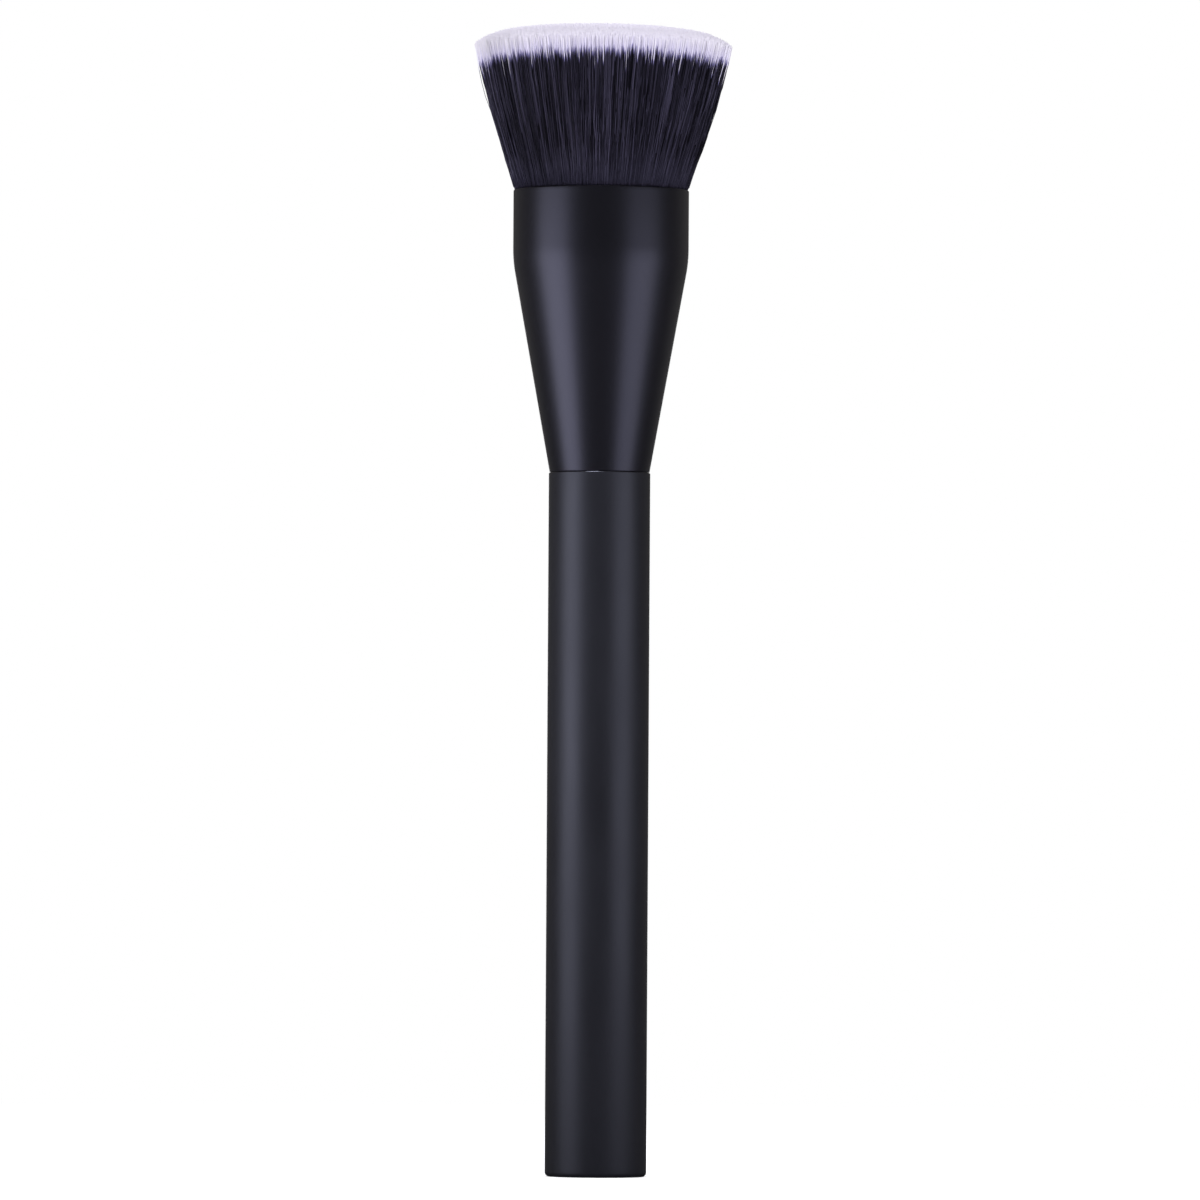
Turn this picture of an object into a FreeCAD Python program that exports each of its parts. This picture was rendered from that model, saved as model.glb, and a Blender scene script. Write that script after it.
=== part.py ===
import FreeCAD, Part
import math
import os

# Flat-top kabuki makeup brush, in millimetres.
# +Z runs up the brush from the handle to the tips, and the origin is the centre of the handle's flat butt.

# Handle: a turned wooden barrel with a grooved tenon that is glued into the ferrule's neck
handle_diameter = 14.5
handle_length = 100.5
butt_edge_radius = 0.7
shoulder_chamfer = 0.2
tenon_lead = 6.0
tenon_end_chamfer = 0.8
groove_count = 1
groove_width = 2.4
groove_depth = 0.5

# Ferrule: a drawn aluminium bell, narrow where it meets the handle and wide at the mouth
collar_diameter = 25.1
collar_length = 10.2
ferrule_length = 40.4
ferrule_wall = 0.4
collar_blend_radius = 19.0
lip_chamfer = 0.15
neck_step = 0.12

# Ferrule glue: the ring of adhesive between the tenon and the bell
glue_height = 9.0

# Tuft cup: the short aluminium cup that the roots of the tuft are potted in
cup_wall = 0.3
cup_floor = 0.4
cup_recess = 1.2
resin_depth = 2.4

# Tuft: a straight flare with a round shoulder and a shallow crown, measured up from the ferrule's mouth
tuft_diameter = 36.6
tuft_height = 23.7
crown_rise = 2.6
widest_drop = 2.6
tuft_shoulder_radius = 14.0
tip_length = 3.4

# Locks: the bundles of filaments that show, round the side of the tuft and in rings over its crown
lock_count = 52
lock_thickness = 1.0
lock_spacing = 0.04
lock_stagger = 0.35
tip_waist_share = 0.86
tip_end_share = 0.42
crown_ring_count = 6
crown_lock_sink = 0.5

# Clearances
glue_gap = 0.25
seat_gap = 0.05
tuft_gap = 0.1

# Levels and radii that follow from the sizes above
handle_radius = handle_diameter / 2
collar_radius = collar_diameter / 2
neck_radius = handle_radius - neck_step
joint_level = handle_length
mouth_level = joint_level + ferrule_length
corner_level = mouth_level - collar_length
bell_slope = math.atan((collar_radius - neck_radius) / (ferrule_length - collar_length))
bore_radius = collar_radius - ferrule_wall
tenon_radius = neck_radius - ferrule_wall / math.cos(bell_slope) - glue_gap
tenon_top = joint_level + glue_height + tenon_lead
cup_radius = bore_radius - seat_gap
cup_bore_radius = cup_radius - cup_wall
cup_seat_level = corner_level + ferrule_wall * math.tan(bell_slope / 2)
cup_rim_level = mouth_level - cup_recess
resin_level = cup_seat_level + cup_floor
root_level = resin_level + resin_depth
root_radius = cup_bore_radius - seat_gap
tuft_mouth_radius = bore_radius - tuft_gap
core_share = 1 - (lock_thickness + seat_gap) / tuft_mouth_radius
rim_height = tuft_height - crown_rise
foot_height = rim_height - crown_lock_sink
dye_height = rim_height - tip_length
widest_height = rim_height - widest_drop
shoulder_axis_radius = tuft_diameter / 2 - tuft_shoulder_radius
flare_slope = math.atan2(shoulder_axis_radius - tuft_mouth_radius, widest_height) + math.asin(
    tuft_shoulder_radius / math.hypot(shoulder_axis_radius - tuft_mouth_radius, widest_height)
)
flare_height = widest_height - tuft_shoulder_radius * math.sin(flare_slope)


def at(point):
    """Point of an outline, given as (radius, level), in the XZ half plane."""
    radius, level = point
    return FreeCAD.Vector(radius, 0, level)


def turned(start, *steps):
    """Solid turned from a closed outline. A step is its end point, or for an arc a point passed and its end."""
    here = start
    edges = []
    for step in steps + (start,):
        if isinstance(step[0], tuple):
            passing, there = step
            edges.append(Part.Arc(at(here), at(passing), at(there)).toShape())
        else:
            there = step
            edges.append(Part.LineSegment(at(here), at(there)).toShape())
        here = there
    face = Part.Face(Part.Wire(edges))
    return face.revolve(FreeCAD.Vector(0, 0, 0), FreeCAD.Vector(0, 0, 1), 360)


def arc_step(centre, radius, from_angle, to_angle):
    """Arc about a centre between two angles in radians, as the point it passes half way and its end."""
    angles = ((from_angle + to_angle) / 2, to_angle)
    return tuple((centre[0] + radius * math.cos(a), centre[1] + radius * math.sin(a)) for a in angles)


def taper_point(level, depth):
    """Point at a level on the bell's straight taper, a depth inside its outer face."""
    rise = level - joint_level
    return neck_radius + rise * math.tan(bell_slope) - depth / math.cos(bell_slope), level


def groove_points():
    """Points up the tenon's side across its glue grooves, which are spaced over the height of the glue."""
    points = []
    for n in range(groove_count):
        middle = joint_level + glue_height * (n + 1) / (groove_count + 1)
        low = middle - groove_width / 2
        high = middle + groove_width / 2
        floor = tenon_radius - groove_depth
        points += [(tenon_radius, low), (floor, low), (floor, high), (tenon_radius, high)]
    return points


def handle():
    """Barrel with a rounded butt edge, a chamfered shoulder and the tenon above it."""
    edge_centre = (handle_radius - butt_edge_radius, butt_edge_radius)
    return turned(
        (0, 0),
        (handle_radius - butt_edge_radius, 0),
        arc_step(edge_centre, butt_edge_radius, -math.pi / 2, 0),
        (handle_radius, handle_length - shoulder_chamfer),
        (handle_radius - shoulder_chamfer, handle_length),
        (tenon_radius, handle_length),
        *groove_points(),
        (tenon_radius, tenon_top - tenon_end_chamfer),
        (tenon_radius - tenon_end_chamfer, tenon_top),
        (0, tenon_top),
    )


def ferrule():
    """Thin bell: a straight taper, a soft blend and a parallel collar with a broken outer lip."""
    blend_level = corner_level + collar_blend_radius * math.tan(bell_slope / 2)
    blend_centre = (collar_radius - collar_blend_radius, blend_level)
    blend_start = blend_level - collar_blend_radius * math.sin(bell_slope)
    return turned(
        taper_point(joint_level, 0),
        taper_point(blend_start, 0),
        arc_step(blend_centre, collar_blend_radius, -bell_slope, 0),
        (collar_radius, mouth_level - lip_chamfer),
        (collar_radius - lip_chamfer, mouth_level),
        (bore_radius, mouth_level),
        (bore_radius, cup_seat_level),
        taper_point(joint_level, ferrule_wall),
    )


def ferrule_glue():
    """Ring of cured adhesive, wedge shaped because the bell widens away from the tenon."""
    depth = ferrule_wall + seat_gap
    low = joint_level + seat_gap
    high = joint_level + glue_height
    bore = tenon_radius + seat_gap
    return turned((bore, low), taper_point(low, depth), taper_point(high, depth), (bore, high))


def tuft_cup():
    """Open cup pushed down the collar to where the bore starts to narrow."""
    return turned(
        (0, cup_seat_level),
        (cup_radius, cup_seat_level),
        (cup_radius, cup_rim_level),
        (cup_bore_radius, cup_rim_level),
        (cup_bore_radius, resin_level),
        (0, resin_level),
    )


def root_resin():
    """Potting resin across the floor of the cup."""
    return turned((0, resin_level), (root_radius, resin_level), (root_radius, root_level), (0, root_level))


def tuft_radius(height):
    """Radius of the whole tuft at a height above the mouth."""
    if height <= flare_height:
        return tuft_mouth_radius + height * math.tan(flare_slope)
    return shoulder_axis_radius + math.sqrt(tuft_shoulder_radius ** 2 - (height - widest_height) ** 2)


def section(corners, share, angle, radius, height):
    """Corners given as (outward, sideways) steps, sized by a share, round a point at a height above the mouth."""
    points = []
    for outward, sideways in corners:
        r = radius + outward * share
        s = sideways * share
        x = r * math.cos(angle) - s * math.sin(angle)
        y = r * math.sin(angle) + s * math.cos(angle)
        points.append(FreeCAD.Vector(x, y, mouth_level + height))
    return points


def bundle(sections):
    """Solid through a stack of like sections, whose sides are flat because their edges stay parallel."""
    faces = [Part.Face(Part.makePolygon(end + end[:1])) for end in (sections[0], sections[-1])]
    for low, high in zip(sections, sections[1:]):
        for i in range(len(low)):
            corners = [low[i - 1], low[i], high[i], high[i - 1]]
            faces.append(Part.Face(Part.makePolygon(corners + corners[:1])))
    solid = Part.makeSolid(Part.makeShell(faces))
    return solid if solid.Volume > 0 else solid.reversed()


def core_section(radius, height):
    """Section of the filaments behind the outer locks, with a flat for each lock."""
    turns = [2 * math.pi * (n + 0.5) / lock_count for n in range(lock_count)]
    return section([(math.cos(turn), math.sin(turn)) for turn in turns], radius, 0, 0, height)


def bristle_core():
    """Dark filaments inside the tuft, from the potted roots up to the dye line."""
    shoulder = cup_rim_level - mouth_level
    heights = [shoulder, flare_height, dye_height]
    roots = [core_section(root_radius, height) for height in (root_level - mouth_level, shoulder)]
    return bundle(roots + [core_section(core_share * tuft_radius(height), height) for height in heights])


def tip_core():
    """Pale filaments inside the tuft, from the dye line up to the foot of the crown."""
    heights = [dye_height, foot_height]
    return bundle([core_section(core_share * tuft_radius(height), height) for height in heights])


def outer_lock(angle, levels):
    """One stretch of a ridged lock in the tuft's side, from (height, share) levels, spreading with the flare."""
    thick = lock_thickness / 2
    radius = tuft_mouth_radius - thick
    wide = radius * math.tan(math.pi / lock_count) - lock_spacing / 2
    corners = [(thick, 0), (0, wide), (-thick, 0), (0, -wide)]
    sections = []
    for height, share in levels:
        spread = tuft_radius(height) / tuft_mouth_radius
        sections.append(section(corners, spread * share, angle, radius * spread, height))
    return bundle(sections)


def lock_places():
    """Angle of each outer lock and how far it stops short, because every second one is a little lower."""
    return [(2 * math.pi * n / lock_count, lock_stagger * (n % 2)) for n in range(lock_count)]


def bristle_locks():
    """Dark stretch of the outer locks, from just above the cup's rim to the dye line."""
    solids = []
    for angle, short in lock_places():
        heights = [seat_gap - cup_recess, flare_height, dye_height - short]
        solids.append(outer_lock(angle, [(height, 1) for height in heights]))
    return Part.makeCompound(solids)


def tip_locks():
    """Pale tapered ends of the outer locks."""
    solids = []
    for angle, short in lock_places():
        dye = dye_height - short
        rim = rim_height - short
        levels = [(dye, 1), ((dye + rim) / 2, tip_waist_share), (rim, tip_end_share)]
        solids.append(outer_lock(angle, levels))
    return Part.makeCompound(solids)


def crown_locks():
    """Pale tapered bundles in rings over the tip core, whose ends follow the crown."""
    crown_edge = core_share * tuft_radius(foot_height)
    crown_radius = (crown_edge ** 2 + crown_rise ** 2) / (2 * crown_rise)
    pitch = crown_edge / (crown_ring_count + 0.5)
    reach = (pitch - lock_spacing) / 2
    corners = [(reach, 0), (0, reach), (-reach, 0), (0, -reach)]
    solids = []
    for ring in range(crown_ring_count + 1):
        radius = ring * pitch
        end = tuft_height - crown_radius + math.sqrt(crown_radius ** 2 - radius ** 2)
        count = max(1, 6 * ring)
        for n in range(count):
            angle = 2 * math.pi * n / count
            low = section(corners, 1, angle, radius, foot_height)
            high = section(corners, tip_end_share, angle, radius, end)
            solids.append(bundle([low, high]))
    return Part.makeCompound(solids)


nodes = {
    "handle": handle(),
    "ferrule": ferrule(),
    "ferrule_glue": ferrule_glue(),
    "tuft_cup": tuft_cup(),
    "root_resin": root_resin(),
    "bristle_core": bristle_core(),
    "bristle_locks": bristle_locks(),
    "tip_core": tip_core(),
    "tip_locks": tip_locks(),
    "crown_locks": crown_locks(),
}

os.makedirs("parts", exist_ok=True)
for name, shape in nodes.items():
    print(f"{name}: {len(shape.Solids)} solids, {shape.Volume:.1f} mm3, valid {shape.isValid()}")
    shape.exportStep(f"parts/{name}.step")
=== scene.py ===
import math

import bpy
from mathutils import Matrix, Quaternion, Vector


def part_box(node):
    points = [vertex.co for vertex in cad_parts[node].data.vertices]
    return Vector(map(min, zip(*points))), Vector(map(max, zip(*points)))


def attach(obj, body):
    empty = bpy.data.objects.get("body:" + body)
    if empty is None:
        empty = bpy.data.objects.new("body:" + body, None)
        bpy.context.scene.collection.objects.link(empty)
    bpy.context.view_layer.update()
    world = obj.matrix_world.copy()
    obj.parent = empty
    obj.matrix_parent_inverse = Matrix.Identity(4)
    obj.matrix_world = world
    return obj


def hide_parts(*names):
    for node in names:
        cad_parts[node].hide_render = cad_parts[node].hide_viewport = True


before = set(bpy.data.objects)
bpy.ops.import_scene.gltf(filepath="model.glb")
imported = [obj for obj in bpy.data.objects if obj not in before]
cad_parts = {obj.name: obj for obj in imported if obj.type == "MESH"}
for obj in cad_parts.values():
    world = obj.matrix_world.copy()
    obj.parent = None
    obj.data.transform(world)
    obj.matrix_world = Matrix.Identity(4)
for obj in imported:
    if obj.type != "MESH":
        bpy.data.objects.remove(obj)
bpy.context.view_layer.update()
print("frame loaded:", len(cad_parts), "nodes")

mm = 0.001
scene = bpy.context.scene


# camera, as the photograph was taken: long lens, a little below the head of the brush
shot = {
    "eye": (0.0, -1530 * mm, 45.7 * mm),
    "aim": (0.17 * mm, 0.0, 82.3 * mm),
    "lens": 321.3,
    "roll": 0.345,  # degrees, the brush leans a little to the right
}


def addCamera(shot):
    cameraData = bpy.data.cameras.new("shotCamera")
    cameraData.lens = shot["lens"]
    cameraData.sensor_width = 36
    cameraData.clip_start = 0.01
    cameraData.clip_end = 50
    camera = bpy.data.objects.new("shotCamera", cameraData)
    scene.collection.objects.link(camera)
    camera.location = shot["eye"]
    look = Vector(shot["aim"]) - Vector(shot["eye"])
    turned = look.to_track_quat("-Z", "Y") @ Quaternion((0, 0, 1), math.radians(shot["roll"]))
    camera.rotation_euler = turned.to_euler()
    scene.camera = camera


addCamera(shot)
print("camera set")


# small helpers for node trees
def put(tree, kind, **settings):
    node = tree.nodes.new(kind)
    for name, value in settings.items():
        setattr(node, name, value)
    return node


def feed(tree, socket, value):
    if isinstance(value, bpy.types.NodeSocket):
        tree.links.new(value, socket)
    elif value is not None:
        socket.default_value = value


def calc(tree, operation, first, second=None):
    node = put(tree, "ShaderNodeMath", operation=operation)
    for socket, value in zip(node.inputs, (first, second)):
        feed(tree, socket, value)
    return node.outputs[0]


def remap(tree, value, low, high, newLow=0.0, newHigh=1.0, smooth=False):
    node = put(tree, "ShaderNodeMapRange")
    if smooth:
        node.interpolation_type = "SMOOTHSTEP"
    settings = {"Value": value, "From Min": low, "From Max": high, "To Min": newLow, "To Max": newHigh}
    for name, setting in settings.items():
        feed(tree, node.inputs[name], setting)
    return node.outputs["Result"]


def vector(tree, x, y, z=None):
    node = put(tree, "ShaderNodeCombineXYZ")
    for socket, value in zip(node.inputs, (x, y, z)):
        feed(tree, socket, value)
    return node.outputs[0]


def startTree(name, sockets):
    tree = bpy.data.node_groups.new(name, "GeometryNodeTree")
    tree.interface.new_socket(name="Geometry", in_out="INPUT", socket_type="NodeSocketGeometry")
    for label, kind in sockets.items():
        tree.interface.new_socket(name=label, in_out="INPUT", socket_type="NodeSocket" + kind)
    tree.interface.new_socket(name="Geometry", in_out="OUTPUT", socket_type="NodeSocketGeometry")
    return tree, put(tree, "NodeGroupInput").outputs


def endTree(tree, geometry, material):
    realized = put(tree, "GeometryNodeRealizeInstances")
    tree.links.new(geometry, realized.inputs["Geometry"])
    smooth = put(tree, "GeometryNodeSetShadeSmooth")
    tree.links.new(realized.outputs["Geometry"], smooth.inputs["Geometry"])
    painted = put(tree, "GeometryNodeSetMaterial")
    tree.links.new(smooth.outputs["Geometry"], painted.inputs["Geometry"])
    tree.links.new(material, painted.inputs["Material"])
    tree.links.new(painted.outputs["Geometry"], put(tree, "NodeGroupOutput").inputs[0])


def grow(name, startMesh, tree, values):
    # runs the tree once and keeps the result as a plain mesh
    piece = bpy.data.objects.new(name, startMesh)
    scene.collection.objects.link(piece)
    modifier = piece.modifiers.new("grow", "NODES")
    modifier.node_group = tree
    for item in tree.interface.items_tree:
        if item.in_out == "INPUT" and item.name in values:
            modifier[item.identifier] = values[item.name]
    depsgraph = bpy.context.evaluated_depsgraph_get()
    evaluated = piece.evaluated_get(depsgraph)
    mesh = bpy.data.meshes.new_from_object(evaluated, preserve_all_data_layers=True, depsgraph=depsgraph)
    mesh.name = name
    piece.modifiers.remove(modifier)
    piece.data = mesh
    return piece


# small helpers for materials
def startMaterial(name):
    material = bpy.data.materials.new(name)
    material.use_nodes = True
    tree = material.node_tree
    shader = tree.nodes["Principled BSDF"]
    return material, tree, shader


def objectPlace(tree):
    split = put(tree, "ShaderNodeSeparateXYZ")
    tree.links.new(put(tree, "ShaderNodeTexCoord").outputs["Object"], split.inputs[0])
    return split.outputs


def objectNoise(tree, scale, detail=2.0, stretch=(1, 1, 1)):
    place = put(tree, "ShaderNodeTexCoord").outputs["Object"]
    mapping = put(tree, "ShaderNodeMapping")
    mapping.inputs["Scale"].default_value = stretch
    tree.links.new(place, mapping.inputs["Vector"])
    noise = put(tree, "ShaderNodeTexNoise")
    noise.inputs["Scale"].default_value = scale
    noise.inputs["Detail"].default_value = detail
    tree.links.new(mapping.outputs["Vector"], noise.inputs["Vector"])
    return noise.outputs["Fac"]


def mixColour(tree, factor, first, second):
    node = put(tree, "ShaderNodeMix", data_type="RGBA")
    feed(tree, node.inputs[0], factor)
    for socket, colour in zip((node.inputs[6], node.inputs[7]), (first, second)):
        feed(tree, socket, colour if isinstance(colour, bpy.types.NodeSocket) else (*colour, 1))
    return node.outputs[2]


def addBump(tree, shader, height, strength, distance):
    bump = put(tree, "ShaderNodeBump")
    bump.inputs["Strength"].default_value = strength
    bump.inputs["Distance"].default_value = distance
    tree.links.new(height, bump.inputs["Height"])
    tree.links.new(bump.outputs["Normal"], shader.inputs["Normal"])


# turned pieces: an outline with a rounding at each corner, swept round the axis
def latheTree():
    tree, given = startTree("lathe", {
        "Segments": "Int", "Path Radius": "Float", "Corner Points": "Int", "Material": "Material"})
    curve = put(tree, "GeometryNodeMeshToCurve")
    tree.links.new(given["Geometry"], curve.inputs["Mesh"])
    rounding = put(tree, "GeometryNodeInputNamedAttribute", data_type="FLOAT")
    rounding.inputs["Name"].default_value = "rounding"
    fillet = put(tree, "GeometryNodeFilletCurve", mode="POLY")
    tree.links.new(curve.outputs["Curve"], fillet.inputs["Curve"])
    tree.links.new(given["Corner Points"], fillet.inputs["Count"])
    tree.links.new(rounding.outputs["Attribute"], fillet.inputs["Radius"])
    path = put(tree, "GeometryNodeCurvePrimitiveCircle")
    tree.links.new(given["Segments"], path.inputs["Resolution"])
    tree.links.new(given["Path Radius"], path.inputs["Radius"])
    swept = put(tree, "GeometryNodeCurveToMesh")
    tree.links.new(path.outputs["Curve"], swept.inputs["Curve"])
    tree.links.new(fillet.outputs["Curve"], swept.inputs["Profile Curve"])
    welded = put(tree, "GeometryNodeMergeByDistance")
    welded.inputs["Distance"].default_value = 0.0005 * mm
    tree.links.new(swept.outputs["Mesh"], welded.inputs["Geometry"])
    endTree(tree, welded.outputs["Geometry"], given["Material"])
    return tree


lathe = latheTree()


def turn(name, corners, closed, material, pathRadius, segments):
    # corners are (radius, level, rounding), from the outside's foot up
    outline = bpy.data.meshes.new(name + "Outline")
    points = [(radius - pathRadius, -level, 0) for radius, level, _ in corners]
    edges = [(i, i + 1) for i in range(len(points) - 1)]
    if closed:
        edges.append((len(points) - 1, 0))
    outline.from_pydata(points, edges, [])
    rounding = outline.attributes.new("rounding", "FLOAT", "POINT")
    for entry, corner in zip(rounding.data, corners):
        entry.value = corner[2]
    return grow(name, outline, lathe, {
        "Segments": segments, "Path Radius": pathRadius, "Corner Points": 10, "Material": material})


_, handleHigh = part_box("handle")
ferruleLow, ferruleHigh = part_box("ferrule")
jointLevel = ferruleLow[2]
mouthLevel = ferruleHigh[2]
barrelRadius = handleHigh[0]
collarRadius = ferruleHigh[0]

handle = {
    "buttEdge": 0.62 * mm,
    "shoulderEdge": 0.16 * mm,
    "tenonRadius": 6.47 * mm,
    "tenonTop": handleHigh[2],
    "tenonEdge": 0.3 * mm,
    "support": 0.5 * mm,  # short steps beside each edge keep the faces between them flat
    "segments": 160,
    "darker": (0.0050, 0.0047, 0.0056),
    "lighter": (0.0074, 0.0070, 0.0084),
    "cloud": 160,  # scales of the coat's unevenness and of its grain
    "grain": 5200,
    "grainBump": 0.12,
    "grainDepth": 0.02 * mm,
    "roughness": (0.42, 0.50),
    "wornStart": 0.16 * mm,  # below the joint, where the coat is rubbed smooth
    "wornFull": 0.08 * mm,
    "wornRoughness": 0.4,  # share of the coat's own
    "specular": 0.68,
    # reflections tinted blue: painted cool light, standing in for the colour of the lamps
    "coolLightTint": (0.72, 0.75, 1.0, 1),
}


def lacquerFinish(look):
    # matte black soft-touch coat
    material, tree, shader = startMaterial("handleLacquer")
    cloud = objectNoise(tree, look["cloud"], 3.0, (1, 1, 0.3))
    grain = objectNoise(tree, look["grain"])
    tree.links.new(mixColour(tree, cloud, look["darker"], look["lighter"]), shader.inputs["Base Color"])
    wornFrom = jointLevel - look["wornStart"]
    wornTo = jointLevel - look["wornFull"]
    worn = remap(tree, objectPlace(tree)["Z"], wornFrom, wornTo, smooth=True)
    matte = remap(tree, cloud, 0.3, 0.7, *look["roughness"])
    rubbed = remap(tree, worn, 0.0, 1.0, 1.0, look["wornRoughness"])
    tree.links.new(calc(tree, "MULTIPLY", matte, rubbed), shader.inputs["Roughness"])
    shader.inputs["Specular IOR Level"].default_value = look["specular"]
    shader.inputs["Specular Tint"].default_value = look["coolLightTint"]
    addBump(tree, shader, grain, look["grainBump"], look["grainDepth"])
    return material


def makeHandle(size):
    support = size["support"]
    corners = [
        (0.0, 0.0, 0.0),
        (barrelRadius - size["buttEdge"] - support, 0.0, 0.0),
        (barrelRadius, 0.0, size["buttEdge"]),
        (barrelRadius, size["buttEdge"] + support, 0.0),
        (barrelRadius, jointLevel - size["shoulderEdge"] - support, 0.0),
        (barrelRadius, jointLevel, size["shoulderEdge"]),
        (size["tenonRadius"], jointLevel, 0.0),
        (size["tenonRadius"], size["tenonTop"], size["tenonEdge"]),
        (0.0, size["tenonTop"], 0.0),
    ]
    piece = turn("handleBody", corners, False, lacquerFinish(size), barrelRadius, size["segments"])
    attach(piece, "root")
    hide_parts("handle")
    print("handle:", len(piece.data.polygons), "faces")


makeHandle(handle)

ferrule = {
    "neckRadius": 7.13 * mm,
    "neckEdge": 0.16 * mm,
    "cornerLevel": 130.7 * mm,
    "blend": 19 * mm,
    "wall": 0.4 * mm,
    "lip": 0.19 * mm,
    "lipStep": 0.6 * mm,  # keeps the collar straight up to the rounding of the lip
    "segments": 192,
    "darker": (0.0024, 0.0021, 0.0018),
    "lighter": (0.0036, 0.0032, 0.0028),
    "cloud": 220,
    "grain": 7000,
    "grainBump": 0.06,
    "grainDepth": 0.01 * mm,
    "roughness": (0.35, 0.41),
    "specular": 0.82,
    # reflections tinted blue: painted cool light, standing in for the colour of the lamps
    "coolLightTint": (0.68, 0.685, 1.0, 1),
}


def anodisedFinish(look):
    # black anodised aluminium, satin, with the fine grain of the blasted metal
    material, tree, shader = startMaterial("ferruleBlack")
    cloud = objectNoise(tree, look["cloud"], 3.0)
    grain = objectNoise(tree, look["grain"])
    tree.links.new(mixColour(tree, cloud, look["darker"], look["lighter"]), shader.inputs["Base Color"])
    tree.links.new(remap(tree, grain, 0.3, 0.7, *look["roughness"]), shader.inputs["Roughness"])
    shader.inputs["Specular IOR Level"].default_value = look["specular"]
    shader.inputs["Specular Tint"].default_value = look["coolLightTint"]
    addBump(tree, shader, grain, look["grainBump"], look["grainDepth"])
    return material


def makeFerrule(size):
    inside = collarRadius - size["wall"]
    lipFoot = mouthLevel - size["lipStep"]
    corners = [
        (size["neckRadius"] - size["wall"], jointLevel, 0.0),
        (size["neckRadius"], jointLevel, size["neckEdge"]),
        (collarRadius, size["cornerLevel"], size["blend"]),
        (collarRadius, lipFoot, 0.0),
        (collarRadius, mouthLevel, size["lip"]),
        (inside, mouthLevel, size["lip"]),
        (inside, lipFoot, 0.0),
        (inside, size["cornerLevel"], size["blend"]),
    ]
    piece = turn("ferruleBell", corners, True, anodisedFinish(size), collarRadius, size["segments"])
    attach(piece, "root")
    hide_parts("ferrule")
    print("ferrule:", len(piece.data.polygons), "faces")


makeFerrule(ferrule)


# tuft: every filament leans outward with its place in the bundle, and ends on the trimmed dome
tuft = {
    "Mouth Level": mouthLevel,
    "Start Spread": 0.0,
    "Mouth Radius": 12.33 * mm,
    "Widest Radius": 17.9 * mm,
    "Widest Height": 19.5 * mm,
    "Bulge": 0.24,
    "Height": 23.0 * mm,
    "Crown Rise": 0.4 * mm,
    "Edge Drop": 2.0 * mm,
    "Trim Slope": 0.01,
    "Lean": 0.28 * mm,
    "Dye Height": 18.85 * mm,
    "Dye Sides": 0.9 * mm,  # lower at the left and right
    "Dye Scatter": 0.8 * mm,
    "Dye Drop": 2.4 * mm,
    "Drop Rarity": 14.0,
    "Dye Rise": 0.5 * mm,
    "Rise Rarity": 9.0,
    "Long Drop": 4 * mm,
    "Long Rarity": 260.0,
    "Clump": 0.1 * mm,
    "Clump Scale": 20.0,
    "End Clump": 0.0,
    "Curl": 0.25 * mm,
    "Wave": 0.32 * mm,
    "Uneven Ends": 0.25 * mm,
}
bandSizes = ("Inner Ring", "Outer Ring", "Start Height", "Thickness", "End Thickness")

# how single filaments differ, and how their ends are shaded
habit = {
    "goldenAngle": 2.399963,  # spreads the filaments evenly
    "jitter": 0.06,  # radians off that spread
    "seedStep": 20011.0,  # keeps the bands' random numbers apart
    "ownNoise": 60.0,  # keeps the curls of neighbours apart
    "curls": 2.5,  # noise steps along one filament
    "freedom": 0.8,  # power of the height by which a filament moves aside
    "calmFrom": 0.62,  # ends bunch less from this ring
    "calmTo": 0.86,
    "calmShare": 0.3,
    "softFrom": 0.72,  # ends are shaded more as one mass from this ring
    "softTo": 0.94,
    "crownSoftness": 0.28,
    "rimSoftness": 0.85,
    "rimUp": 0.35,  # how far the shading at the rim still faces up
}

# where the filaments lie on the bake's map: shade across, place above the dye line along
bakeMap = {
    "foot": -20 * mm,
    "top": 7 * mm,
    "width": 0.9,
    "height": 0.95,
    "sideStep": 0.02,  # the three sides lie a little apart
    "sideRise": 0.01,
}


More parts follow.
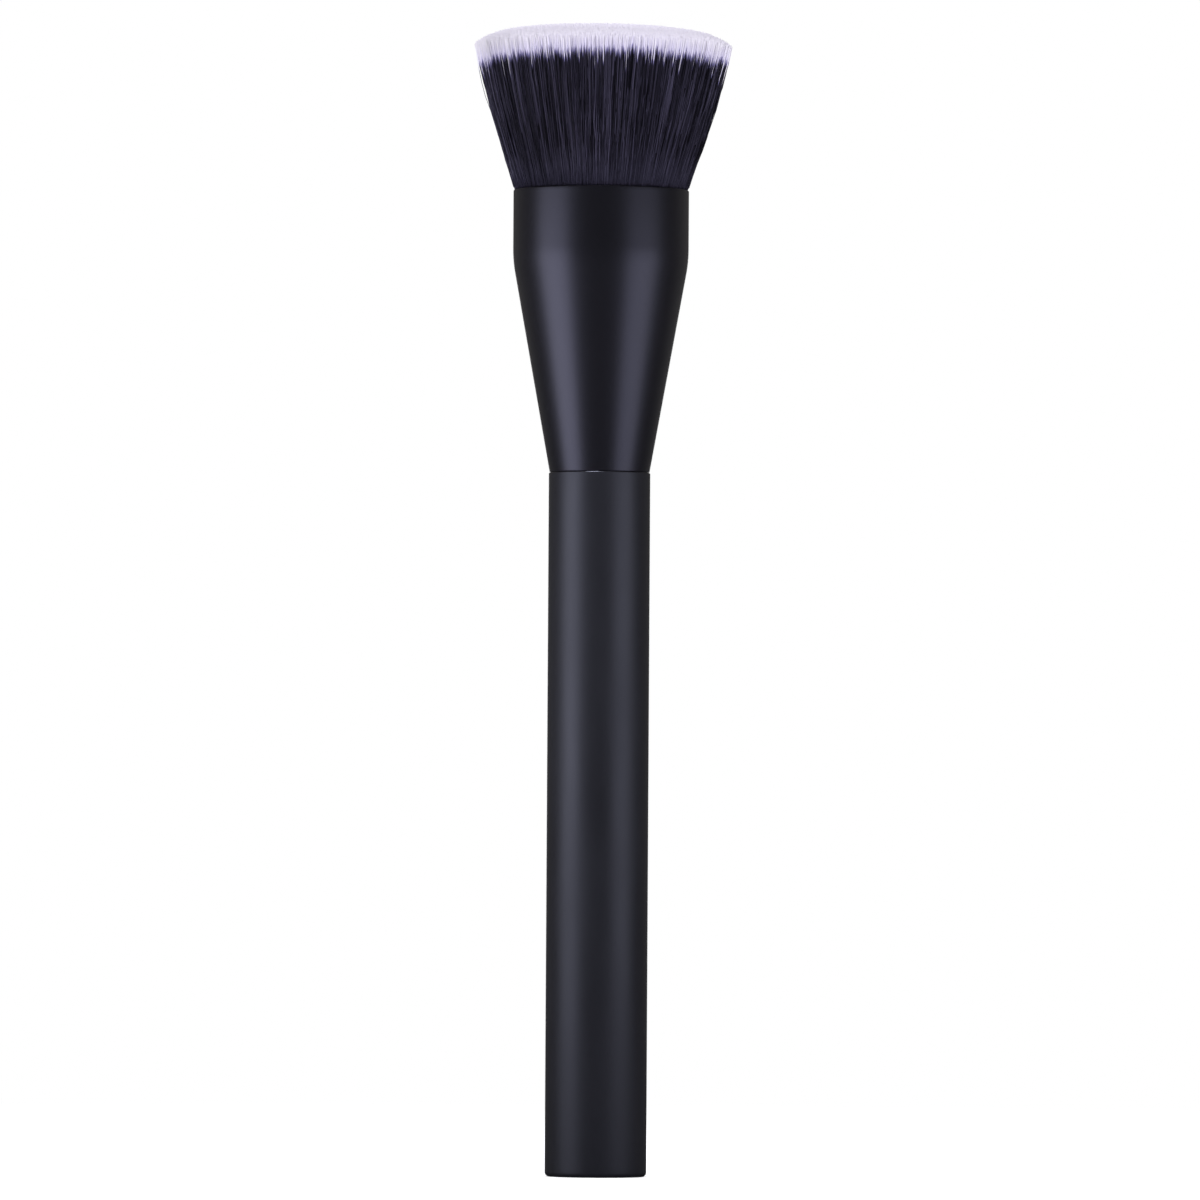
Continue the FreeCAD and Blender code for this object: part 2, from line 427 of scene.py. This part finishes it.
def filamentTree():
    sockets = {"Count": "Int", "Seed": "Int", "Points": "Int"}
    for name in (*bandSizes, *tuft):
        sockets[name] = "Float"
    sockets["Material"] = "Material"
    tree, given = startTree("filaments", sockets)

    def chance(seed, low=0.0, high=1.0):
        node = put(tree, "FunctionNodeRandomValue", data_type="FLOAT")
        node.inputs[2].default_value = low
        node.inputs[3].default_value = high
        number = calc(tree, "ADD", index, calc(tree, "MULTIPLY", given["Seed"], habit["seedStep"]))
        tree.links.new(number, node.inputs["ID"])
        node.inputs["Seed"].default_value = seed
        return node.outputs[1]

    def rarely(seed, rarity, amount):
        return calc(tree, "MULTIPLY", calc(tree, "POWER", chance(seed), given[rarity]), given[amount])

    def keep(geometry, name, value):
        store = put(tree, "GeometryNodeStoreNamedAttribute", data_type="FLOAT", domain="POINT")
        store.inputs["Name"].default_value = name
        tree.links.new(geometry, store.inputs["Geometry"])
        tree.links.new(value, store.inputs["Value"])
        return store.outputs["Geometry"]

    def kept(name):
        node = put(tree, "GeometryNodeInputNamedAttribute", data_type="FLOAT")
        node.inputs["Name"].default_value = name
        return node.outputs["Attribute"]

    # one point for each filament, spread evenly over its part of the bundle
    index = put(tree, "GeometryNodeInputIndex").outputs["Index"]
    points = put(tree, "GeometryNodePoints")
    tree.links.new(given["Count"], points.inputs["Count"])
    share = calc(tree, "DIVIDE", calc(tree, "ADD", index, chance(1)), given["Count"])
    innerSquare = calc(tree, "POWER", given["Inner Ring"], 2.0)
    outerSquare = calc(tree, "POWER", given["Outer Ring"], 2.0)
    ring = calc(tree, "SQRT", remap(tree, share, 0.0, 1.0, innerSquare, outerSquare))
    jitter = chance(2, -habit["jitter"], habit["jitter"])
    turned = calc(tree, "ADD", calc(tree, "MULTIPLY", index, habit["goldenAngle"]), jitter)

    # where its dye ends: scattered, and on a few filaments well above or below the others
    scatter = calc(tree, "MULTIPLY", calc(tree, "ADD", chance(3, -1.0, 0.0), chance(4)), given["Dye Scatter"])
    drop = rarely(5, "Drop Rarity", "Dye Drop")
    rise = rarely(11, "Rise Rarity", "Dye Rise")
    longDrop = rarely(6, "Long Rarity", "Long Drop")
    shift = calc(tree, "SUBTRACT", calc(tree, "ADD", scatter, rise), calc(tree, "ADD", drop, longDrop))
    sides = calc(tree, "MULTIPLY", calc(tree, "POWER", calc(tree, "COSINE", turned), 2.0), given["Dye Sides"])
    dye = calc(tree, "SUBTRACT", calc(tree, "ADD", given["Dye Height"], shift), sides)
    traits = {
        "ring": ring,
        "turn": turned,
        "shade": chance(7),
        "dye": dye,
        "reach": chance(8, -1.0, 1.0),
        "waveX": chance(9, -1.0, 1.0),
        "waveY": chance(10, -1.0, 1.0),
    }
    geometry = points.outputs["Points"]
    for name, value in traits.items():
        geometry = keep(geometry, name, value)

    # a straight line on each point
    line = put(tree, "GeometryNodeCurvePrimitiveLine")
    resampled = put(tree, "GeometryNodeResampleCurve")
    tree.links.new(line.outputs["Curve"], resampled.inputs["Curve"])
    tree.links.new(given["Points"], resampled.inputs["Count"])
    instances = put(tree, "GeometryNodeInstanceOnPoints")
    tree.links.new(geometry, instances.inputs["Points"])
    tree.links.new(resampled.outputs["Curve"], instances.inputs["Instance"])
    lines = put(tree, "GeometryNodeRealizeInstances")
    tree.links.new(instances.outputs["Instances"], lines.inputs["Geometry"])

    # height along the filament, up to the dome
    along = put(tree, "GeometryNodeSplineParameter").outputs["Factor"]
    ringHere = kept("ring")
    turnHere = kept("turn")
    cosine = calc(tree, "COSINE", turnHere)
    sine = calc(tree, "SINE", turnHere)
    dome = calc(tree, "MULTIPLY", calc(tree, "POWER", ringHere, 2.0), given["Crown Rise"])
    edge = calc(tree, "MULTIPLY", calc(tree, "POWER", ringHere, 6.0), given["Edge Drop"])
    sideways = calc(tree, "MULTIPLY", calc(tree, "MULTIPLY", cosine, ringHere), given["Widest Radius"])
    slope = calc(tree, "MULTIPLY", sideways, given["Trim Slope"])
    lost = calc(tree, "ADD", calc(tree, "ADD", dome, edge), slope)
    uneven = calc(tree, "MULTIPLY", kept("reach"), given["Uneven Ends"])
    top = calc(tree, "ADD", calc(tree, "SUBTRACT", given["Height"], lost), uneven)
    spread = calc(tree, "MULTIPLY", kept("waveX"), given["Start Spread"])
    foot = calc(tree, "ADD", given["Start Height"], spread)
    height = remap(tree, along, 0.0, 1.0, foot, top)

    # outline of the bundle at that height: nearly straight, then turning upright
    level = calc(tree, "DIVIDE", height, given["Widest Height"])
    rounded = calc(tree, "SUBTRACT", calc(tree, "SINE", calc(tree, "MULTIPLY", level, math.pi / 2)), level)
    flare = calc(tree, "ADD", level, calc(tree, "MULTIPLY", rounded, given["Bulge"]))
    widening = calc(tree, "SUBTRACT", given["Widest Radius"], given["Mouth Radius"])
    outline = calc(tree, "ADD", given["Mouth Radius"], calc(tree, "MULTIPLY", widening, flare))
    radius = calc(tree, "MULTIPLY", outline, ringHere)

    # neighbours bunch together, and each filament bends a little by itself
    def noiseAxes(spot, scale, detail):
        noise = put(tree, "ShaderNodeTexNoise")
        noise.inputs["Detail"].default_value = detail
        tree.links.new(spot, noise.inputs["Vector"])
        feed(tree, noise.inputs["Scale"], scale)
        axes = put(tree, "ShaderNodeSeparateXYZ")
        tree.links.new(noise.outputs["Color"], axes.inputs[0])
        return axes.outputs

    def swing(noise, amount):
        # noise stays near its middle, so it is widened to use the amount given
        return calc(tree, "MULTIPLY", calc(tree, "SUBTRACT", noise, 0.5), calc(tree, "MULTIPLY", amount, 4.0))

    spot = vector(tree, calc(tree, "MULTIPLY", cosine, ringHere), calc(tree, "MULTIPLY", sine, ringHere))
    bunched = noiseAxes(spot, given["Clump Scale"], 2.0)
    ownX = calc(tree, "MULTIPLY", kept("shade"), habit["ownNoise"])
    ownY = calc(tree, "MULTIPLY", kept("reach"), habit["ownNoise"])
    ownZ = calc(tree, "MULTIPLY", along, habit["curls"])
    curled = noiseAxes(vector(tree, ownX, ownY, ownZ), 1.0, 1.0)
    risen = calc(tree, "MAXIMUM", calc(tree, "DIVIDE", height, given["Height"]), 0.0)
    free = calc(tree, "POWER", risen, habit["freedom"])
    midway = calc(tree, "MULTIPLY", calc(tree, "MULTIPLY", along, calc(tree, "SUBTRACT", 1.0, along)), 4.0)
    calm = remap(tree, ringHere, habit["calmFrom"], habit["calmTo"], 1.0, habit["calmShare"], smooth=True)
    gathering = calc(tree, "MULTIPLY", given["End Clump"], calm)
    place = put(tree, "ShaderNodeCombineXYZ")
    for axis, direction, wave in ((0, cosine, "waveX"), (1, sine, "waveY")):
        pull = swing(bunched[axis], given["Clump"])
        twist = swing(curled[axis], given["Curl"])
        bend = calc(tree, "MULTIPLY", kept(wave), given["Wave"])
        wander = calc(tree, "MULTIPLY", calc(tree, "ADD", pull, twist), midway)
        gather = calc(tree, "MULTIPLY", calc(tree, "MULTIPLY", pull, along), gathering)
        aside = calc(tree, "ADD", calc(tree, "ADD", wander, gather), calc(tree, "MULTIPLY", bend, free))
        if axis == 0:
            aside = calc(tree, "ADD", aside, calc(tree, "MULTIPLY", free, given["Lean"]))
        straight = calc(tree, "MULTIPLY", radius, direction)
        tree.links.new(calc(tree, "ADD", straight, aside), place.inputs[axis])
    tree.links.new(calc(tree, "ADD", height, given["Mouth Level"]), place.inputs[2])
    placed = put(tree, "GeometryNodeSetPosition")
    tree.links.new(lines.outputs["Geometry"], placed.inputs["Geometry"])
    tree.links.new(place.outputs[0], placed.inputs["Position"])
    geometry = keep(placed.outputs["Geometry"], "aboveDye", calc(tree, "SUBTRACT", height, kept("dye")))

    # three-sided, thinner towards the end
    section = put(tree, "GeometryNodeCurvePrimitiveCircle")
    section.inputs["Resolution"].default_value = 3
    section.inputs["Radius"].default_value = 0.5
    sided = keep(section.outputs["Curve"], "side", index)
    solid = put(tree, "GeometryNodeCurveToMesh")
    solid.inputs["Fill Caps"].default_value = True
    tree.links.new(geometry, solid.inputs["Curve"])
    tree.links.new(sided, solid.inputs["Profile Curve"])
    taper = remap(tree, along, 0.7, 1.0, given["Thickness"], given["End Thickness"], smooth=True)
    tree.links.new(taper, solid.inputs["Scale"])

    # the pale ends scatter light as one soft mass, so they are shaded by the way the bundle faces,
    # mostly at the rim and less on the crown
    outward = calc(tree, "POWER", kept("ring"), 8.0)
    facingX = calc(tree, "MULTIPLY", calc(tree, "COSINE", kept("turn")), outward)
    facingY = calc(tree, "MULTIPLY", calc(tree, "SINE", kept("turn")), outward)
    facingZ = remap(tree, outward, 0.0, 1.0, 1.0, habit["rimUp"])
    facing = put(tree, "ShaderNodeVectorMath", operation="NORMALIZE")
    tree.links.new(vector(tree, facingX, facingY, facingZ), facing.inputs[0])
    softness = remap(tree, kept("ring"), habit["softFrom"], habit["softTo"],
                     habit["crownSoftness"], habit["rimSoftness"], smooth=True)
    pale = remap(tree, kept("aboveDye"), -0.2 * mm, 0.8 * mm, smooth=True)
    blend = put(tree, "ShaderNodeMix", data_type="VECTOR")
    tree.links.new(calc(tree, "MULTIPLY", softness, pale), blend.inputs[0])
    tree.links.new(put(tree, "GeometryNodeInputNormal").outputs[0], blend.inputs[4])
    tree.links.new(facing.outputs[0], blend.inputs[5])
    softened = put(tree, "GeometryNodeSetMeshNormal", mode="FREE", domain="POINT")
    tree.links.new(solid.outputs["Mesh"], softened.inputs["Mesh"])
    tree.links.new(blend.outputs[1], softened.inputs["Custom Normal"])

    # place on the bake's map
    side = kept("side")
    turnedSide = calc(tree, "MODULO", calc(tree, "MULTIPLY", side, 2.0), 3.0)
    crosswise = calc(tree, "MULTIPLY", kept("shade"), bakeMap["width"])
    lengthwise = remap(tree, kept("aboveDye"), bakeMap["foot"], bakeMap["top"], 0.0, bakeMap["height"])
    across = calc(tree, "ADD", crosswise, calc(tree, "MULTIPLY", side, bakeMap["sideStep"]))
    upward = calc(tree, "ADD", lengthwise, calc(tree, "MULTIPLY", turnedSide, bakeMap["sideRise"]))
    bake = put(tree, "GeometryNodeStoreNamedAttribute", data_type="FLOAT2", domain="CORNER")
    bake.inputs["Name"].default_value = "OFBake"
    tree.links.new(softened.outputs["Mesh"], bake.inputs["Geometry"])
    tree.links.new(vector(tree, across, upward), bake.inputs["Value"])
    endTree(tree, bake.outputs["Geometry"], given["Material"])
    return tree


# spans are metres above the dye line
filamentLook = {
    "darkest": (0.0032, 0.0030, 0.0052),
    "lightest": (0.064, 0.058, 0.101),
    # lighter, bluer tone near the mouth: painted sheen, standing in for light caught by the filaments there
    "root": (0.042, 0.039, 0.068),
    "rootSheenShare": 0.62,
    "rootSheenSpan": (-18.2 * mm, -12 * mm),
    "dyeEnd": (0.20, 0.18, 0.39),
    "dyeEndSpan": (-0.6 * mm, 0.1 * mm),
    "paleStart": (0.73, 0.69, 0.88),
    "paleStartSpan": (-0.05 * mm, 0.55 * mm),
    "paleSpan": (0.4 * mm, 2.6 * mm),
    "pale": (0.875, 0.84, 0.952),
    "palest": (0.91, 0.875, 0.967),
    "darkRoughness": 0.42,
    "paleRoughness": 0.55,
    "specular": 0.28,
    # sheen tinted blue: painted cool light, standing in for the colour of the lamps
    "coolLightTint": (0.72, 0.68, 1.0, 1),
}


def filamentFinish(look):
    # dyed dark, with undyed pale ends: "shade" differs by filament, "aboveDye" along it
    material, tree, shader = startMaterial("filaments")
    shade = put(tree, "ShaderNodeAttribute", attribute_name="shade").outputs["Fac"]
    above = put(tree, "ShaderNodeAttribute", attribute_name="aboveDye").outputs["Fac"]
    # painted sheen: the dark filaments are lighter and bluer towards the mouth
    root = remap(tree, above, *look["rootSheenSpan"], look["rootSheenShare"], 0.0, smooth=True)
    runOut = remap(tree, above, *look["dyeEndSpan"], smooth=True)
    ends = remap(tree, above, *look["paleStartSpan"], smooth=True)
    clear = remap(tree, above, *look["paleSpan"], smooth=True)
    dark = mixColour(tree, calc(tree, "POWER", shade, 2.0), look["darkest"], look["lightest"])
    dark = mixColour(tree, root, dark, look["root"])
    dark = mixColour(tree, runOut, dark, look["dyeEnd"])
    pale = mixColour(tree, shade, look["pale"], look["palest"])
    pale = mixColour(tree, clear, look["paleStart"], pale)
    tree.links.new(mixColour(tree, ends, dark, pale), shader.inputs["Base Color"])
    roughness = remap(tree, ends, 0.0, 1.0, look["darkRoughness"], look["paleRoughness"])
    tree.links.new(roughness, shader.inputs["Roughness"])
    shader.inputs["Specular IOR Level"].default_value = look["specular"]
    shader.inputs["Specular Tint"].default_value = look["coolLightTint"]
    return material


filaments = filamentTree()
filamentMaterial = filamentFinish(filamentLook)


def makeFilaments(name, nodes, band):
    values = dict(tuft)
    values.update(band)
    values["Material"] = filamentMaterial
    piece = grow(name, bpy.data.meshes.new(name), filaments, values)
    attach(piece, "root")
    if nodes:
        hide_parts(*nodes)
    print(name + ":", len(piece.data.polygons), "faces")


# the first three bands and the strays start at the mouth, the other bands part of the way up
outerBand = {
    "Count": 4400, "Seed": 1, "Points": 8, "Inner Ring": 0.955, "Outer Ring": 1.0, "Start Height": -0.1 * mm,
    "Thickness": 0.11 * mm, "End Thickness": 0.08 * mm,
}
secondBand = {
    "Count": 4400, "Seed": 2, "Points": 8, "Inner Ring": 0.91, "Outer Ring": 0.96, "Start Height": -0.1 * mm,
    "Thickness": 0.12 * mm, "End Thickness": 0.09 * mm,
}
middleBand = {
    "Count": 4400, "Seed": 3, "Points": 8, "Inner Ring": 0.82, "Outer Ring": 0.915, "Start Height": -1.2 * mm,
    "Thickness": 0.18 * mm, "End Thickness": 0.12 * mm,
}
rimBand = {
    "Count": 13500, "Seed": 4, "Points": 3, "Inner Ring": 0.80, "Outer Ring": 1.0, "Start Height": 9.5 * mm,
    "Start Spread": 6 * mm,
    "Thickness": 0.17 * mm, "End Thickness": 0.15 * mm, "Clump": 0.07 * mm, "Curl": 0.06 * mm,
}
edgeBand = {
    "Count": 13500, "Seed": 7, "Points": 3, "Inner Ring": 0.90, "Outer Ring": 1.0, "Start Height": 9.0 * mm,
    "Start Spread": 7.5 * mm,
    "Thickness": 0.11 * mm, "End Thickness": 0.09 * mm, "Clump": 0.07 * mm, "Curl": 0.06 * mm,
}
strayBand = {
    "Count": 140, "Seed": 8, "Points": 12, "Inner Ring": 0.99, "Outer Ring": 1.012, "Start Height": 0.4 * mm,
    "Thickness": 0.09 * mm, "End Thickness": 0.07 * mm, "Curl": 0.35 * mm, "Wave": 0.4 * mm,
}
shoulderBand = {
    "Count": 13500, "Seed": 5, "Points": 3, "Inner Ring": 0.58, "Outer Ring": 0.84, "Start Height": 16 * mm,
    "Thickness": 0.25 * mm, "End Thickness": 0.21 * mm, "Clump": 0.25 * mm, "Uneven Ends": 0.32 * mm,
    "End Clump": 1.0,
}
crownBand = {
    "Count": 13500, "Seed": 6, "Points": 3, "Inner Ring": 0.0, "Outer Ring": 0.6, "Start Height": 17 * mm,
    "Thickness": 0.27 * mm, "End Thickness": 0.23 * mm, "Clump": 0.32 * mm, "Uneven Ends": 0.38 * mm,
    "End Clump": 1.0,
}
makeFilaments("outerFilaments", ["bristle_locks"], outerBand)
makeFilaments("secondFilaments", [], secondBand)
makeFilaments("middleFilaments", [], middleBand)
makeFilaments("rimFilaments", ["tip_locks"], rimBand)
makeFilaments("edgeFilaments", [], edgeBand)
makeFilaments("strayFilaments", [], strayBand)
makeFilaments("shoulderFilaments", [], shoulderBand)
makeFilaments("crownFilaments", ["crown_locks"], crownBand)

# heights are above the mouth of the ferrule
heart = {
    "footHeight": -1.0 * mm,
    "footRadius": 10.9 * mm,
    "footEdge": 0.2 * mm,
    "wideRadius": 15.0 * mm,
    "wideHeight": 17.5 * mm,
    "wideBlend": 6 * mm,
    "rimRadius": 16.0 * mm,
    "rimHeight": 20.9 * mm,
    "rimEdge": 0.8 * mm,
    "crownRadius": 10.7 * mm,
    "crownHeight": 22.1 * mm,
    "crownBlend": 12 * mm,
    "topHeight": 22.4 * mm,
    "segments": 96,
    "dyeHeight": 17.5 * mm,
    "dyeFade": 1.0 * mm,
    "darkest": (0.008, 0.0076, 0.012),
    "dark": (0.018, 0.017, 0.028),
    "pale": (0.70, 0.66, 0.80),
    "palest": (0.90, 0.86, 0.98),
    "strands": 2600,
    "strandBump": 0.5,
    "strandDepth": 0.1 * mm,
    "roughness": 0.7,
}


def heartFinish(look):
    # the mass behind the filaments that show
    material, tree, shader = startMaterial("tuftHeart")
    strands = objectNoise(tree, look["strands"], 2.0, (1, 1, 0.05))
    dark = mixColour(tree, strands, look["darkest"], look["dark"])
    pale = mixColour(tree, strands, look["pale"], look["palest"])
    dyeLevel = mouthLevel + look["dyeHeight"]
    ends = remap(tree, objectPlace(tree)["Z"], dyeLevel, dyeLevel + look["dyeFade"], smooth=True)
    tree.links.new(mixColour(tree, ends, dark, pale), shader.inputs["Base Color"])
    shader.inputs["Roughness"].default_value = look["roughness"]
    addBump(tree, shader, strands, look["strandBump"], look["strandDepth"])
    return material


def makeHeart(size):
    corners = [
        (0.0, mouthLevel + size["footHeight"], 0.0),
        (size["footRadius"], mouthLevel + size["footHeight"], size["footEdge"]),
        (size["wideRadius"], mouthLevel + size["wideHeight"], size["wideBlend"]),
        (size["rimRadius"], mouthLevel + size["rimHeight"], size["rimEdge"]),
        (size["crownRadius"], mouthLevel + size["crownHeight"], size["crownBlend"]),
        (0.0, mouthLevel + size["topHeight"], 0.0),
    ]
    piece = turn("tuftHeart", corners, False, heartFinish(size), size["footRadius"], size["segments"])
    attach(piece, "root")
    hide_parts("bristle_core", "tip_core")
    print("tuft heart:", len(piece.data.polygons), "faces")


makeHeart(heart)


# pieces inside, kept as they are in the CAD
def plainFinish(name, darker, lighter, roughness, metallic, scale):
    # two tones and an uneven gloss
    material, tree, shader = startMaterial(name)
    mottle = objectNoise(tree, scale, 4.0)
    tree.links.new(mixColour(tree, mottle, darker, lighter), shader.inputs["Base Color"])
    gloss = remap(tree, mottle, 0.3, 0.7, roughness - 0.08, roughness + 0.08)
    tree.links.new(gloss, shader.inputs["Roughness"])
    shader.inputs["Metallic"].default_value = metallic
    addBump(tree, shader, mottle, 0.25, 0.05 * mm)
    return material


inside = {
    "ferrule_glue": plainFinish("adhesive", (0.55, 0.47, 0.30), (0.68, 0.60, 0.42), 0.4, 0.0, 900),
    "tuft_cup": plainFinish("cupAluminium", (0.62, 0.63, 0.65), (0.76, 0.77, 0.79), 0.35, 1.0, 700),
    "root_resin": plainFinish("pottingResin", (0.40, 0.30, 0.16), (0.52, 0.41, 0.24), 0.3, 0.0, 600),
}
for nodeName, finish in inside.items():
    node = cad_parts[nodeName]
    node.data.materials.clear()
    node.data.materials.append(finish)
print("inner pieces painted:", len(inside))


# light: small soft boxes near the brush give only gloss, some of them on a few pieces alone,
# and large ones overhead, in front, at the sides and behind give only soft light
lamps = {
    "leftBox": {"angle": -64, "distance": 0.15, "level": 0.083, "size": (0.115, 0.129), "power": 0.127,
                "fill": False},
    "rightBox": {"angle": 56, "distance": 0.15, "level": 0.079, "size": (0.115, 0.12), "power": 0.073,
                 "fill": False, "only": ["handleBody", "ferruleBell"]},
    "behindBox": {"angle": 180, "distance": 0.15, "level": 0.079, "size": (0.08, 0.12), "power": 0.06,
                  "fill": False},
    "glintBox": {"angle": -24, "distance": 0.075, "level": 0.25, "size": (0.06, 0.09), "power": 0.28,
                 "fill": False, "only": ["handleBody"]},
    "leftSheen": {"angle": -84, "distance": 0.15, "level": 0.06, "size": (0.1, 0.1), "power": 0.1,
                  "fill": False, "only": ["outerFilaments", "secondFilaments", "middleFilaments"]},
    "overheadBox": {"angle": 0, "distance": 0.24, "level": 1.1, "size": (0.9, 0.6), "power": 1.62,
                    "gloss": False},
    "frontBox": {"angle": -8, "distance": 0.6, "level": 0.34, "size": (0.5, 0.3), "power": 0.7,
                 "gloss": False},
    "leftFill": {"angle": -78, "distance": 0.6, "level": 0.34, "size": (0.5, 0.3), "power": 1.43,
                 "gloss": False},
    "rightFill": {"angle": 78, "distance": 0.6, "level": 0.34, "size": (0.5, 0.3), "power": 0.81,
                  "gloss": False},
    "backBox": {"angle": 172, "distance": 0.6, "level": 0.34, "size": (0.5, 0.3), "power": 0.7,
                "gloss": False},
}
lampAim = Vector((0, 0, 0.06))


def addLamp(name, lamp):
    lampData = bpy.data.lights.new(name, "AREA")
    lampData.shape = "RECTANGLE"
    lampData.size, lampData.size_y = lamp["size"]
    lampData.energy = lamp["power"]
    lampObject = bpy.data.objects.new(name, lampData)
    scene.collection.objects.link(lampObject)
    angle = math.radians(lamp["angle"])  # from the camera's side, to the right
    aside = math.sin(angle) * lamp["distance"]
    nearer = math.cos(angle) * lamp["distance"]
    lampObject.location = (aside, -nearer, lamp["level"])
    toward = lampAim - lampObject.location
    lampObject.rotation_euler = toward.to_track_quat("-Z", "Y").to_euler()
    lampObject.visible_camera = False
    lampObject.visible_diffuse = lamp.get("fill", True)
    lampObject.visible_glossy = lamp.get("gloss", True)
    if "only" in lamp:
        lit = bpy.data.collections.new(name + "Lit")
        for pieceName in lamp["only"]:
            lit.objects.link(bpy.data.objects[pieceName])
        lampObject.light_linking.receiver_collection = lit


for lampName, lamp in lamps.items():
    addLamp(lampName, lamp)
print("lamps set:", len(lamps))


def addWorld(ambient):
    # white behind the brush, a plain ambient level for the rest
    world = bpy.data.worlds.new("studio")
    scene.world = world
    world.use_nodes = True
    tree = world.node_tree
    tree.nodes.clear()
    path = put(tree, "ShaderNodeLightPath")
    seen = calc(tree, "MAXIMUM", path.outputs["Is Camera Ray"], path.outputs["Is Glossy Ray"])
    seen = calc(tree, "MAXIMUM", seen, path.outputs["Is Transmission Ray"])
    white = put(tree, "ShaderNodeBackground")
    white.inputs["Color"].default_value = (1, 1, 1, 1)
    soft = put(tree, "ShaderNodeBackground")
    soft.inputs["Color"].default_value = (*ambient, 1)
    mixed = put(tree, "ShaderNodeMixShader")
    tree.links.new(seen, mixed.inputs[0])
    tree.links.new(soft.outputs[0], mixed.inputs[1])
    tree.links.new(white.outputs[0], mixed.inputs[2])
    tree.links.new(mixed.outputs[0], put(tree, "ShaderNodeOutputWorld").inputs[0])


addWorld((0.87, 0.865, 0.92))

floorSheet = {
    "halfSide": 8.0,
    "nearEdge": 0.12,  # paper inside this distance of the brush
    "farEdge": 0.45,  # plain white beyond this one
    "paper": (0.8, 0.8, 0.8, 1),
    "lift": 0.35,
}


def addFloor(sheet):
    # pale floor that takes the shadow near the brush and runs into the white behind it
    mesh = bpy.data.meshes.new("floor")
    side = sheet["halfSide"]
    corners = [(-side, -side, 0), (side, -side, 0), (side, side, 0), (-side, side, 0)]
    mesh.from_pydata(corners, [], [(0, 1, 2, 3)])
    floor = bpy.data.objects.new("floor", mesh)
    scene.collection.objects.link(floor)
    material = bpy.data.materials.new("floorPaper")
    material.use_nodes = True
    tree = material.node_tree
    tree.nodes.clear()
    place = put(tree, "ShaderNodeTexCoord").outputs["Object"]
    distance = put(tree, "ShaderNodeVectorMath", operation="LENGTH")
    tree.links.new(place, distance.inputs[0])
    far = remap(tree, distance.outputs["Value"], sheet["nearEdge"], sheet["farEdge"], smooth=True)
    paper = put(tree, "ShaderNodeBsdfDiffuse")
    paper.inputs["Color"].default_value = sheet["paper"]
    lift = put(tree, "ShaderNodeEmission")
    lift.inputs["Strength"].default_value = sheet["lift"]
    near = put(tree, "ShaderNodeAddShader")
    tree.links.new(paper.outputs[0], near.inputs[0])
    tree.links.new(lift.outputs[0], near.inputs[1])
    white = put(tree, "ShaderNodeEmission")
    white.inputs["Strength"].default_value = 1.0
    mixed = put(tree, "ShaderNodeMixShader")
    tree.links.new(far, mixed.inputs[0])
    tree.links.new(near.outputs[0], mixed.inputs[1])
    tree.links.new(white.outputs[0], mixed.inputs[2])
    tree.links.new(mixed.outputs[0], put(tree, "ShaderNodeOutputMaterial").inputs[0])
    mesh.materials.append(material)


addFloor(floorSheet)

flagRing = {
    "reach": 0.95,
    "top": 1.8,
    "bottom": 0.02 * mm,
    "sides": 24,
    "frontSpan": (-0.2, -0.3),  # along Y
    "behindSpan": (0.25, 0.6),
    "black": (0.02, 0.02, 0.022),
    "frontFloor": (0.07, 0.066, 0.058),
    "behind": (0.125, 0.12, 0.11),
}


def addFlags(size):
    # a dark ring of cards with a floor, greyer behind the brush and on the floor in front of it,
    # seen only in the brush's reflections
    material, tree, shader = startMaterial("blackCard")
    place = objectPlace(tree)
    low = remap(tree, place["Z"], 0.0, 0.01, 1.0, 0.0)
    inFront = calc(tree, "MULTIPLY", remap(tree, place["Y"], *size["frontSpan"], smooth=True), low)
    behind = remap(tree, place["Y"], *size["behindSpan"], smooth=True)
    tone = mixColour(tree, inFront, size["black"], size["frontFloor"])
    tree.links.new(mixColour(tree, behind, tone, size["behind"]), shader.inputs["Base Color"])
    shader.inputs["Roughness"].default_value = 0.9
    sides = size["sides"]
    ring = []
    for i in range(sides):
        angle = 2 * math.pi * i / sides
        ring.append((math.sin(angle) * size["reach"], math.cos(angle) * size["reach"]))
    points = [(x, y, size["bottom"]) for x, y in ring] + [(x, y, size["top"]) for x, y in ring]
    faces = [(i, (i + 1) % sides, sides + (i + 1) % sides, sides + i) for i in range(sides)]
    faces.append(tuple(range(sides)))
    mesh = bpy.data.meshes.new("blackFlags")
    mesh.from_pydata(points, [], faces)
    mesh.materials.append(material)
    flags = bpy.data.objects.new("blackFlags", mesh)
    scene.collection.objects.link(flags)
    flags.visible_camera = False
    flags.visible_diffuse = False
    flags.visible_transmission = False
    flags.visible_shadow = False


addFlags(flagRing)
print("floor and flags set")

scene.view_settings.view_transform = "Standard"
